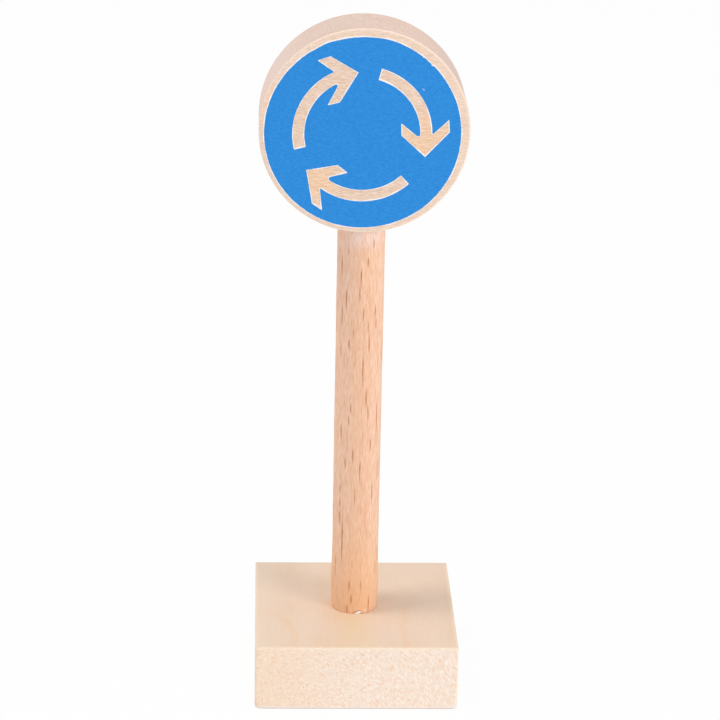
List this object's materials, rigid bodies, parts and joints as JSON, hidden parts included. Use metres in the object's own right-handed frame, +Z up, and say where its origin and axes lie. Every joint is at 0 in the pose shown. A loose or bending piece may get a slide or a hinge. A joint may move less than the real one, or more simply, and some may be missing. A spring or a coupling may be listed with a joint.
{
  "type": "toy roundabout sign",
  "caption": "Small wooden toy roundabout sign: a thick round disc with a blue printed face and clockwise arrows left in bare wood, on a round post in a square block.",
  "frame": {"origin": "centre of the block's underside, on the surface it stands on", "axes": "+Z up along the post, -Y out of the printed face, +X to the right as the sign is read"},
  "size_m": [0.0434, 0.0434, 0.1461],
  "materials": {
    "block_wood": "bare, finely sanded pale hardwood with sawn end grain to the front",
    "dowel_wood": "bare beech dowel with short dark ray flecks",
    "disc_wood": "bare, finely sanded pale hardwood",
    "blue_ink": "flat satin screen-print ink that lets a little of the grain through",
    "wood_glue": "dried white wood glue, slightly glossy"
  },
  "bodies": {
    "root": {"base_block": "block_wood", "post": "dowel_wood", "sign_disc": "disc_wood", "sign_print": "blue_ink", "foot_glue": "wood_glue", "head_glue": "wood_glue"}
  },
  "joints": []
}
